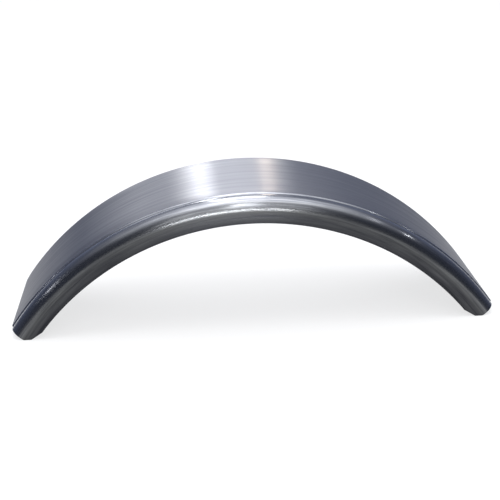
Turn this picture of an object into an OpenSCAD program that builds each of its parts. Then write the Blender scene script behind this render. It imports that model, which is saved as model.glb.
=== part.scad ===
// Trailer fender: one formed sheet. A plain band is rolled into an arch, and its outer
// side steps down, turns over in a round shoulder and ends in a short skirt.
// The arch axis lies along Y, the skirt is on the -Y side, and the level cuts at the
// skirt's two ends lie on Z = 0.

/* [Arch] */
// Radius of the band's outer face
arch_r = 380; // [320:1:440]
// Angle that the arch spans from end to end, in degrees
arc_deg = 110; // [80:1:140]

/* [Section] */
// Overall width, from the plain edge to the skirt's outer face
fender_w = 203; // [150:1:260]
// Depth of the rolled side, from the band's outer face to the skirt's free edge
side_h = 34; // [30:0.5:60]
// Thickness of the sheet
sheet_t = 1.5; // [1:0.1:2.5]
// Outer radius of the rolled shoulder
shoulder_r = 17; // [10:0.5:22]
// Drop of the pressed step between the band and the shoulder
step_drop = 1.5; // [0.6:0.1:2.4]
// Inside radius of the two small bends of that step
step_bend_r = 1; // [0.6:0.1:2]
// Width of the land between the step and the shoulder
land_w = 4; // [2:0.5:10]

/* [Ends] */
// Length of the sloping trim along the skirt's free edge, beside its level end cut
trim_len = 11.5; // [5:0.5:25]
// Height of that trim
trim_h = 6; // [3:0.5:10]
// Radius of the band's two corners on the plain edge
corner_r = 12; // [4:1:30]

/* [Hidden] */
$fn = 240;

half_deg = arc_deg / 2;
skirt_edge_r = arch_r - side_h;
land_r = arch_r - step_drop;

// The step is an S of two arcs: a crest that turns down and a root that turns back level
crest_r = step_bend_r + sheet_t;
root_r = step_bend_r;
step_deg = acos(1 - step_drop / (crest_r + root_r));
step_w = (crest_r + root_r) * sin(step_deg);

shoulder_y = fender_w - shoulder_r;
step_end_y = shoulder_y - land_w;
band_w = step_end_y - step_w;

// The skirt's ends are cut level, a little below the shoulder, and the sheet stands on
// these cuts. Heights here are above the arch axis.
skirt_end_edge = 1.5;
level_z = (land_r - shoulder_r - skirt_end_edge) * cos(half_deg);

// The sloping trim runs from its tip, on the level cut, to its foot on the free edge
tip_r = skirt_edge_r + trim_h;
foot_deg = acos(level_z / skirt_edge_r) - trim_len / skirt_edge_r * 180 / PI;
trim_tip = [sqrt(tip_r * tip_r - level_z * level_z), level_z];
trim_foot = [skirt_edge_r * sin(foot_deg), skirt_edge_r * cos(foot_deg)];

// Overshoot of a cutter past the sheet, so that no cut ends on a face
over = 2;
// Overlap of the step's two arcs, so that no gap is left where they touch
lap = 0.002;
// How far the corner rounds pass the sheet's edges, so that they cut them cleanly
pass = 0.05;

// All of the section's plane that lies under the surface which is inset below the outer
// face. Its X is the radius, and its Y runs from the plain edge to the skirt.
module under(inset, start) {
    crest = [arch_r - crest_r, band_w];
    root = [land_r + root_r, step_end_y];
    bend = crest_r - inset;
    turn_r = crest[0] + bend * cos(step_deg);
    translate([0, start])
        square([arch_r - inset, band_w - start]);
    translate(crest)
        circle(r = bend);
    difference() {
        translate([0, start])
            square([turn_r, step_end_y - start]);
        translate(root)
            circle(r = root_r + inset + lap);
    }
    translate([0, start])
        square([land_r - inset, shoulder_y - start]);
    translate([land_r - shoulder_r, shoulder_y])
        circle(r = shoulder_r - inset);
    translate([0, start])
        square([land_r - shoulder_r, fender_w - inset - start]);
}

// The sheet's section: band, step, land, shoulder and skirt
module section() {
    difference() {
        under(0, 0);
        under(sheet_t, -over);
        translate([-over, -over])
            square([skirt_edge_r + over, fender_w + 2 * over]);
    }
}

// What the level cut and the sloping trim take off the skirt at one end
module skirt_trim() {
    run = trim_foot - trim_tip;
    reach = norm(run) + 2 * side_h;
    translate([0, over, 0])
        rotate([90, 0, 0])
            linear_extrude(height = sheet_t + 2 * over) {
                square([arch_r, level_z]);
                translate(trim_tip)
                    rotate(atan2(run[1], run[0]))
                        translate([-side_h, 0])
                            square([reach, side_h]);
            }
}

// What lies outside the rounded corner of the band at one end
module corner_cut() {
    inside = corner_r - pass;
    seat_deg = half_deg - asin(inside / arch_r);
    tall = 4 * sheet_t;
    rotate([0, seat_deg, 0])
        translate([0, -inside, arch_r])
            difference() {
                translate([0, 0, -tall])
                    cube([2 * corner_r, 2 * corner_r, 2 * tall]);
                cylinder(h = 3 * tall, r = corner_r, center = true);
            }
}

// Both ends of the sheet after cutting
module end_cuts() {
    for (side = [0, 1])
        mirror([side, 0, 0]) {
            translate([0, sheet_t - fender_w / 2, 0])
                skirt_trim();
            translate([0, fender_w / 2, 0])
                corner_cut();
        }
}

module fender() {
    color("silver")
        translate([0, 0, -level_z])
            difference() {
                translate([0, fender_w / 2, 0])
                    rotate([90, 0, 0])
                        rotate([0, 0, 90 - half_deg])
                            rotate_extrude(angle = arc_deg)
                                section();
                end_cuts();
            }
}

fender();
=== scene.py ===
"""Looks of a trailer fender: one sheet of stainless steel, rolled into an arch, with a brushed
band and a rolled side. Metres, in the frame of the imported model."""
import math

import bmesh
import bpy
from mathutils import Matrix, Vector


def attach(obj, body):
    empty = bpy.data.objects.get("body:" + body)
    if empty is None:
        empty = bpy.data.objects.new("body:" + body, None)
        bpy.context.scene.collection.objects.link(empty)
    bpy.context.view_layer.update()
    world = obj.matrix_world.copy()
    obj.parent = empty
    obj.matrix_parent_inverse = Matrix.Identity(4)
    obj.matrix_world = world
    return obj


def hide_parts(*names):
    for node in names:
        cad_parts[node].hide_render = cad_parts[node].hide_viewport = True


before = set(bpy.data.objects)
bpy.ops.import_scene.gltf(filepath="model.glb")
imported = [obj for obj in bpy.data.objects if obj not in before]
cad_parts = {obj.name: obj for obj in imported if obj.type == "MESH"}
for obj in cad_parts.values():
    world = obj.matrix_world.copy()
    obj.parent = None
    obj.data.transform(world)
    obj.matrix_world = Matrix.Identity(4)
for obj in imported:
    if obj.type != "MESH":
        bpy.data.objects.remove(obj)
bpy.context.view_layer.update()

MM = 0.001

# The sheet, as the part's source has it
ARCH_R = 380 * MM
HALF_ARC = math.radians(55)
WIDTH = 203 * MM
SIDE_DEPTH = 34 * MM
SHEET = 1.5 * MM
SHOULDER_R = 17 * MM
STEP_DROP = 1.5 * MM
STEP_BEND_R = 1 * MM
LAND_WIDTH = 4 * MM
SKIRT_END_EDGE = 1.5 * MM
TRIM_LENGTH = 11.5 * MM
TRIM_HEIGHT = 6 * MM
CORNER_R = 12 * MM

# The thickened sheet leans out by nearly this much at its two round corners, so its plain
# edge is set in by it
EDGE_LEAN = 0.08 * MM

# The radii that follow: the land and the skirt's free edge about the arch's centre line,
# and the outer face at the step's two bends
LAND_R = ARCH_R - STEP_DROP
SKIRT_EDGE_R = ARCH_R - SIDE_DEPTH
CREST_R = STEP_BEND_R + SHEET
ROOT_R = STEP_BEND_R

# Where that puts the section's lines across the width, and the centre line of the arch
PLAIN_EDGE = WIDTH / 2 - EDGE_LEAN
SKIRT_FACE = -WIDTH / 2
SHOULDER_START = SKIRT_FACE + SHOULDER_R
STEP_END = SHOULDER_START + LAND_WIDTH
STEP_SLOPE = math.acos(1 - STEP_DROP / (CREST_R + ROOT_R))
STEP_START = STEP_END + (CREST_R + ROOT_R) * math.sin(STEP_SLOPE)
AXIS_Z = -(LAND_R - SHOULDER_R - SKIRT_END_EDGE) * math.cos(HALF_ARC)
ARCH_AXIS = Vector((0, 0, AXIS_Z))
ALONG_Y = Vector((0, 1, 0))

# How finely the sheet is divided: along the arch, across the band, and round each bend
STEPS_ALONG = 480
BAND_CUTS = 5
CREST_SEGMENTS = 6
ROOT_SEGMENTS = 4
SHOULDER_SEGMENTS = 18
CORNER_SEGMENTS = 10

# The small round on the cut edges, which are those that turn more than SHARP
EDGE_BREAK = 0.25 * MM
EDGE_SEGMENTS = 2
SHARP = math.radians(50)

# How near counts as the same: for the skirt's flat, for a cut and for a doubled vertex
FLAT_WITHIN = 0.01 * MM
CUT_WITHIN = 0.001 * MM
MERGE_WITHIN = 0.002 * MM

# The UV map whose U is the distance across the section and whose V runs along the arch
UV_NAME = "sheet"

# The numbered sockets of a Mix node, for numbers and for colours
NUMBER_A, NUMBER_B, NUMBER_OUT = 2, 3, 0
COLOUR_A, COLOUR_B, COLOUR_OUT = 6, 7, 2


def linear(hex_colour):
    """The linear colour of an sRGB hex value."""
    def channel(text):
        value = int(text, 16) / 255
        return value / 12.92 if value <= 0.04045 else ((value + 0.055) / 1.055) ** 2.4

    return tuple(channel(hex_colour[i:i + 2]) for i in (1, 3, 5)) + (1.0,)


def node(tree, kind, inputs=None, **settings):
    """Adds a node to the tree with its settings, and sets or links its inputs."""
    made = tree.nodes.new(kind)
    for name, value in settings.items():
        setattr(made, name, value)
    for name, value in (inputs or {}).items():
        socket = made.inputs[name]
        if isinstance(value, bpy.types.NodeSocket):
            tree.links.new(value, socket)
        else:
            socket.default_value = value
    return made


# The sheet's shape

def section_wire(bm, across):
    """The outer face's section at the crown, as a chain of edges from the plain edge to the
    skirt's free edge. The bends are round. Each vertex keeps its distance along the section."""
    crest_run = CREST_R * math.tan(STEP_SLOPE / 2)
    root_run = ROOT_R * math.tan(STEP_SLOPE / 2)
    corners = [
        (PLAIN_EDGE, ARCH_R),
        (PLAIN_EDGE - CORNER_R, ARCH_R),
        (STEP_START - crest_run, ARCH_R),
        (STEP_END + root_run, LAND_R),
        (SKIRT_FACE, LAND_R),
        (SKIRT_FACE, SKIRT_EDGE_R),
    ]
    chain = [bm.verts.new((0, corners[0][0], AXIS_Z + corners[0][1]))]
    for y, r in corners[1:]:
        step = Vector((0, y, AXIS_Z + r)) - chain[-1].co
        grown = bmesh.ops.extrude_vert_indiv(bm, verts=[chain[-1]])["verts"][0]
        grown.co += step
        chain.append(grown)
    rounds = [
        (chain[2], crest_run, CREST_SEGMENTS),
        (chain[3], root_run, ROOT_SEGMENTS),
        (chain[4], SHOULDER_R, SHOULDER_SEGMENTS),
    ]
    for vert, offset, segments in rounds:
        bmesh.ops.bevel(bm, geom=[vert], offset=offset, offset_type="OFFSET", segments=segments,
                        profile=0.5, affect="VERTICES", material=-1)
    band = max(bm.edges, key=lambda e: e.calc_length())
    bmesh.ops.subdivide_edges(bm, edges=[band], cuts=BAND_CUTS)
    walk = max(bm.verts, key=lambda v: v.co.y)
    run = 0.0
    seen = set()
    while walk:
        walk[across] = run
        seen.add(walk)
        onward = [e.other_vert(walk) for e in walk.link_edges]
        onward = [v for v in onward if v not in seen]
        if onward:
            run += (onward[0].co - walk.co).length
        walk = onward[0] if onward else None


def sweep_arch(bm):
    """Turns the section about the arch's centre line, from end to end. The first and last
    steps are as long as the corner round, so that each corner has a cell of its own."""
    bmesh.ops.rotate(bm, cent=ARCH_AXIS, matrix=Matrix.Rotation(-HALF_ARC, 3, "Y"),
                     verts=bm.verts)
    corner_step = CORNER_R / ARCH_R
    last = bm.verts[:] + bm.edges[:]
    for angle, steps in ((corner_step, 1), (2 * (HALF_ARC - corner_step), STEPS_ALONG),
                         (corner_step, 1)):
        last = bmesh.ops.spin(bm, geom=last, cent=ARCH_AXIS, axis=ALONG_Y, angle=angle,
                              steps=steps, use_merge=False, use_duplicate=False)["geom_last"]


def arch_angle(co):
    """How far a point is round the arch from the crown, towards +X."""
    return math.atan2(co.x, co.z - AXIS_Z)


def round_far_corners(bm):
    """Rounds the band's two corners on the plain edge, a hair short of their cells."""
    for side in (-1, 1):
        corner = min(bm.verts, key=lambda v: (
            v.co - Vector((side * ARCH_R * math.sin(HALF_ARC), PLAIN_EDGE,
                           AXIS_Z + ARCH_R * math.cos(HALF_ARC)))).length)
        bmesh.ops.bevel(bm, geom=[corner], offset=0.999 * CORNER_R, offset_type="OFFSET",
                        segments=CORNER_SEGMENTS, profile=0.5, affect="VERTICES",
                        material=-1)


def trim_skirt(bm):
    """Cuts the skirt level at each end, at the height of the floor, and then the sloping
    corner off its free edge."""
    tip_x = math.sqrt((SKIRT_EDGE_R + TRIM_HEIGHT) ** 2 - AXIS_Z ** 2)
    foot_angle = math.acos(-AXIS_Z / SKIRT_EDGE_R) - TRIM_LENGTH / SKIRT_EDGE_R
    for side in (-1, 1):
        tip = Vector((side * tip_x, SKIRT_FACE, 0))
        foot = Vector((side * SKIRT_EDGE_R * math.sin(foot_angle), SKIRT_FACE,
                       AXIS_Z + SKIRT_EDGE_R * math.cos(foot_angle)))
        for outward in (Vector((0, 0, -1)), ALONG_Y.cross(tip - foot) * side):
            skirt = [f for f in bm.faces
                     if all(abs(v.co.y - SKIRT_FACE) < FLAT_WITHIN for v in f.verts)
                     and side * f.calc_center_median().x > tip_x / 2]
            parts = set(skirt)
            for f in skirt:
                parts.update(f.edges)
                parts.update(f.verts)
            bmesh.ops.bisect_plane(bm, geom=list(parts), dist=CUT_WITHIN, plane_co=tip,
                                   plane_no=outward, clear_outer=True)


def fender_sheet(materials):
    """The whole sheet: its outer face, mapped for the metals' grain, and then its thickness and
    the small round on its cut edges. The materials are those of the band, the rolled side, and
    the inner side behind each of them."""
    bm = bmesh.new()
    across = bm.verts.layers.float.new("across")
    section_wire(bm, across)
    sweep_arch(bm)
    round_far_corners(bm)
    trim_skirt(bm)
    bmesh.ops.remove_doubles(bm, verts=bm.verts, dist=MERGE_WITHIN)
    bmesh.ops.recalc_face_normals(bm, faces=bm.faces)
    crown = min(bm.faces, key=lambda f: (f.calc_center_median()
                                         - Vector((0, 0, AXIS_Z + ARCH_R))).length)
    if crown.normal.z < 0:
        bmesh.ops.reverse_faces(bm, faces=bm.faces)
    uv = bm.loops.layers.uv.new(UV_NAME)
    for face in bm.faces:
        face.smooth = True
        face.material_index = 0 if face.calc_center_median().y > STEP_START else 1
        for loop in face.loops:
            co = loop.vert.co
            reach = loop.vert[across]
            if co.y > PLAIN_EDGE - CORNER_R:
                reach = PLAIN_EDGE - co.y
            loop[uv].uv = (reach, ARCH_R * (arch_angle(co) + HALF_ARC))
    mesh = bpy.data.meshes.new("fender_sheet")
    bm.to_mesh(mesh)
    bm.free()
    piece = bpy.data.objects.new("fender_sheet", mesh)
    bpy.context.scene.collection.objects.link(piece)
    for material in materials:
        mesh.materials.append(material)
    wall = piece.modifiers.new("wall", "SOLIDIFY")
    wall.thickness = SHEET
    wall.offset = -1
    wall.material_offset = 2
    edges = piece.modifiers.new("edges", "BEVEL")
    edges.width = EDGE_BREAK
    edges.segments = EDGE_SEGMENTS
    edges.limit_method = "ANGLE"
    edges.angle_limit = SHARP
    edges.harden_normals = True
    return piece


# Metals

# The noise behind the brush lines: how much of each finer layer it keeps, the values that
# it mostly lies between, and the share of the broad lines in the mix with the fine ones
NOISE_KEEP = 0.6
NOISE_LOW, NOISE_HIGH = 0.33, 0.67
BROAD_SHARE = 0.6
FINE_DETAIL, BROAD_DETAIL = 2, 3


def steel(name, base, streak, roughness, anisotropy, grain, streaks, depths, shade=()):
    """A stainless steel finish whose grain runs along the arch. grain and streaks are the
    spacing and length, in metres, of the fine lines and of the broad ones, and depths are how
    deep they are. shade gives colours that multiply the steel's, each at its distance across
    the section from the plain edge. They are painted shade, which darkens the metal where the
    real one reflects a darker room."""
    material = bpy.data.materials.new(name)
    material.use_nodes = True
    tree = material.node_tree
    tree.nodes.clear()
    uv = node(tree, "ShaderNodeUVMap", uv_map=UV_NAME)

    def lines(size, detail):
        placed = node(tree, "ShaderNodeMapping",
                      {"Vector": uv.outputs["UV"],
                       "Scale": (1 / size[0], 1 / size[1], 1)})
        return node(tree, "ShaderNodeTexNoise",
                    {"Vector": placed.outputs["Vector"], "Scale": 1.0, "Detail": detail,
                     "Roughness": NOISE_KEEP}, noise_dimensions="2D").outputs["Fac"]

    fine = lines(grain, FINE_DETAIL)
    broad = lines(streaks, BROAD_DETAIL)
    both = node(tree, "ShaderNodeMix",
                {"Factor": BROAD_SHARE, NUMBER_A: fine, NUMBER_B: broad},
                data_type="FLOAT").outputs[NUMBER_OUT]
    share = node(tree, "ShaderNodeMapRange",
                 {"Value": both, "From Min": NOISE_LOW, "From Max": NOISE_HIGH}
                 ).outputs["Result"]
    colour = node(tree, "ShaderNodeMix",
                  {"Factor": share, COLOUR_A: linear(base), COLOUR_B: linear(streak)},
                  data_type="RGBA").outputs[COLOUR_OUT]
    # Painted shade: a ramp of tones across the section multiplies the steel's colour
    if shade:
        first, last = shade[0][0], shade[-1][0]
        reach = node(tree, "ShaderNodeSeparateXYZ", {"Vector": uv.outputs["UV"]}).outputs["X"]
        place = node(tree, "ShaderNodeMapRange",
                     {"Value": reach, "From Min": first, "From Max": last}).outputs["Result"]
        ramp = node(tree, "ShaderNodeValToRGB", {"Fac": place})
        stops = ramp.color_ramp.elements
        stops[0].color, stops[1].color = linear(shade[0][1]), linear(shade[-1][1])
        for distance, tone in shade[1:-1]:
            stops.new((distance - first) / (last - first)).color = linear(tone)
        colour = node(tree, "ShaderNodeMix",
                      {"Factor": 1.0, COLOUR_A: colour, COLOUR_B: ramp.outputs["Color"]},
                      data_type="RGBA", blend_type="MULTIPLY").outputs[COLOUR_OUT]
    rough = node(tree, "ShaderNodeMapRange",
                 {"Value": share, "To Min": roughness[1], "To Max": roughness[0]}
                 ).outputs["Result"]
    wave = node(tree, "ShaderNodeMath", {0: broad, 1: depths[1]},
                operation="MULTIPLY").outputs[0]
    height = node(tree, "ShaderNodeMath", {0: fine, 1: depths[0], 2: wave},
                  operation="MULTIPLY_ADD").outputs[0]
    bump = node(tree, "ShaderNodeBump", {"Strength": 1.0, "Distance": 1.0, "Height": height})
    tangent = node(tree, "ShaderNodeTangent", direction_type="UV_MAP", uv_map=UV_NAME)
    shader = node(tree, "ShaderNodeBsdfPrincipled",
                  {"Base Color": colour, "Metallic": 1.0, "Roughness": rough,
                   "Anisotropic": anisotropy, "Normal": bump.outputs["Normal"],
                   "Tangent": tangent.outputs["Tangent"]})
    node(tree, "ShaderNodeOutputMaterial", {"Surface": shader.outputs["BSDF"]})
    return material


# The colours are darker than fresh stainless steel, as they are in the photograph. Real
# brush lines are about 0.1 mm apart, which is too fine to show, so the fine lines are drawn
# 1.5 mm apart, or 2 mm on the inner side.

# Brushed stainless steel: the band was drawn along an abrasive belt after rolling. That
# gives soft lines along the arch, and highlights that spread across them from edge to edge.
brushed = steel("stainless_steel_brushed", "#787980", "#8B8C91", (0.28, 0.36), 0.9,
                (1.5 * MM, 120 * MM), (8 * MM, 260 * MM), (0.006 * MM, 0.006 * MM))

# Polished stainless steel: the rollers that turned the side over burnished it. That gives
# glossier metal with long shallow waves, which break its reflections into streaks. Painted
# shade darkens its colour from the shoulder to the free edge. It stands in for the darker room
# that the real metal reflects there, and its tones follow the photograph's.
polished = steel("stainless_steel_polished", "#72747B", "#A0A2A6", (0.16, 0.28), 0.8,
                 (1.5 * MM, 60 * MM), (6 * MM, 90 * MM), (0.002 * MM, 0.07 * MM),
                 ((190 * MM, "#FFFFFF"), (200 * MM, "#E0E0E0"), (208 * MM, "#BABAB7"),
                  (214 * MM, "#8A8A88"), (221 * MM, "#808080"), (228.5 * MM, "#626264")))

# Mill-finish stainless steel: the inner side and the cut edges are as the sheet came from
# the mill. That gives a dull even grey, with only a hint of the rolling direction.
mill = steel("stainless_steel_mill", "#7E8086", "#94969B", (0.4, 0.5), 0.2,
             (2 * MM, 20 * MM), (12 * MM, 60 * MM), (0.004 * MM, 0.01 * MM))

fender = fender_sheet([brushed, polished, mill, mill])
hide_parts("fender")
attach(fender, "root")


# Studio

# Metres
FLOOR_RADIUS = 14
FENDER_MIDDLE = Vector((0, 0, 0.1))

# The share of its own white that the floor shows to the camera and in the metal. The rest
# is lit paper, which keeps the shadow.
FLOOR_WHITE = 0.7

# The white glow overhead: how strong it is at the zenith, and how fast it fades from there
GLOW_STRENGTH = 4.8
GLOW_FADE = 8.0


# Studio paper: matt white paper, pressed smooth. It gives an even white with a soft shadow.
def floor_paper():
    material = bpy.data.materials.new("floor_paper")
    material.use_nodes = True
    tree = material.node_tree
    tree.nodes.clear()
    paper = node(tree, "ShaderNodeBsdfDiffuse", {"Color": linear("#F6F6F6")})
    white = node(tree, "ShaderNodeEmission", {"Color": (1, 1, 1, 1), "Strength": 1.0})
    path = node(tree, "ShaderNodeLightPath")
    seen = path.outputs["Is Camera Ray"]
    for ray in ("Is Glossy Ray", "Is Transmission Ray"):
        seen = node(tree, "ShaderNodeMath", {0: seen, 1: path.outputs[ray]},
                    operation="MAXIMUM").outputs[0]
    share = node(tree, "ShaderNodeMath", {0: seen, 1: FLOOR_WHITE},
                 operation="MULTIPLY").outputs[0]
    both = node(tree, "ShaderNodeMixShader",
                {0: share, 1: paper.outputs["BSDF"], 2: white.outputs["Emission"]})
    node(tree, "ShaderNodeOutputMaterial", {"Surface": both.outputs["Shader"]})
    return material


def studio_floor():
    bm = bmesh.new()
    bmesh.ops.create_circle(bm, cap_ends=True, segments=64, radius=FLOOR_RADIUS)
    mesh = bpy.data.meshes.new("floor")
    bm.to_mesh(mesh)
    bm.free()
    floor = bpy.data.objects.new("floor", mesh)
    mesh.materials.append(floor_paper())
    bpy.context.scene.collection.objects.link(floor)


def lamp(name, azimuth, elevation, distance, size, power, colour="#FFFFFF"):
    """An area lamp that faces the fender. Azimuth 0 is behind it, at +Y, and 90 at +X, in
    degrees. Distance and size are in metres, and power is in watts."""
    az, el = math.radians(azimuth), math.radians(elevation)
    way = Vector((math.sin(az) * math.cos(el), math.cos(az) * math.cos(el), math.sin(el)))
    data = bpy.data.lights.new(name, "AREA")
    data.shape = "RECTANGLE"
    data.size, data.size_y = size
    data.energy = power
    data.color = linear(colour)[:3]
    made = bpy.data.objects.new(name, data)
    made.location = FENDER_MIDDLE + way * distance
    made.rotation_euler = way.to_track_quat("Z", "Y").to_euler()
    made.visible_camera = False
    bpy.context.scene.collection.objects.link(made)


def lamps():
    lamp("back_soft", -6, 13, 2.6, (1.5, 1.2), 6.6)
    lamp("back_strip", -5.8, 14, 2.5, (0.16, 1.2), 4.5)
    lamp("back_narrow", 7, 13, 2.5, (0.08, 1.2), 1.4, "#FFEBD6")
    lamp("back_high", -1, 58, 2.5, (0.7, 1.0), 13)
    lamp("front_soft", 180, 32, 2.7, (1.7, 1.2), 12)
    lamp("front_strip", 178, 41, 2.6, (0.3, 1.35), 8)
    lamp("front_low", 180, 3, 2.7, (0.75, 0.2), 20)
    lamp("side_right_high", 99, 48, 2.6, (0.05, 0.05), 0.8)
    lamp("side_right_low", 96, 37, 2.6, (0.05, 0.05), 0.7)
    lamp("side_left", -101, 25, 2.6, (0.22, 0.22), 1.1)


def room():
    """What the metal shows of the room: blue-grey air, at 0.4 of its strength in front of the
    fender and at full strength behind it, and a white glow overhead."""
    world = bpy.data.worlds.new("studio")
    bpy.context.scene.world = world
    world.use_nodes = True
    tree = world.node_tree
    tree.nodes.clear()
    place = node(tree, "ShaderNodeTexCoord").outputs["Generated"]
    way = node(tree, "ShaderNodeSeparateXYZ", {"Vector": place})
    wall = node(tree, "ShaderNodeMapRange",
                {"Value": way.outputs["Y"], "From Min": -0.3, "From Max": 0.8, "To Min": 0.4,
                 "To Max": 1.0}).outputs["Result"]
    air = node(tree, "ShaderNodeBackground", {"Color": linear("#868EA6"), "Strength": wall})
    height = node(tree, "ShaderNodeMath", {0: way.outputs["Z"], 1: 0.0},
                  operation="MAXIMUM").outputs[0]
    fade = node(tree, "ShaderNodeMath", {0: height, 1: GLOW_FADE},
                operation="POWER").outputs[0]
    strength = node(tree, "ShaderNodeMath", {0: fade, 1: GLOW_STRENGTH},
                    operation="MULTIPLY").outputs[0]
    glow = node(tree, "ShaderNodeBackground",
                {"Color": linear("#FFFFFF"), "Strength": strength})
    both = node(tree, "ShaderNodeAddShader",
                {0: air.outputs["Background"], 1: glow.outputs["Background"]})
    node(tree, "ShaderNodeOutputWorld", {"Surface": both.outputs["Shader"]})


def camera():
    """The photograph's camera: its place, its yaw, pitch and roll from looking along +Y, and
    the lens for its angle of view."""
    place = Matrix.Translation((-0.08296, -1.52586, 0.58142))
    yaw = Matrix.Rotation(math.radians(-3.181), 4, "Z")
    pitch = Matrix.Rotation(math.radians(-18.457), 4, "X")
    roll = Matrix.Rotation(math.radians(1.897), 4, "Y")
    level = Matrix.Rotation(math.radians(90), 4, "X")
    data = bpy.data.cameras.new("camera")
    data.sensor_width = 36
    data.lens = 86.4
    data.clip_end = 60
    made = bpy.data.objects.new("camera", data)
    bpy.context.scene.collection.objects.link(made)
    made.matrix_world = place @ yaw @ pitch @ roll @ level
    bpy.context.scene.camera = made


studio_floor()
lamps()
room()
camera()
bpy.context.scene.view_settings.view_transform = "Standard"
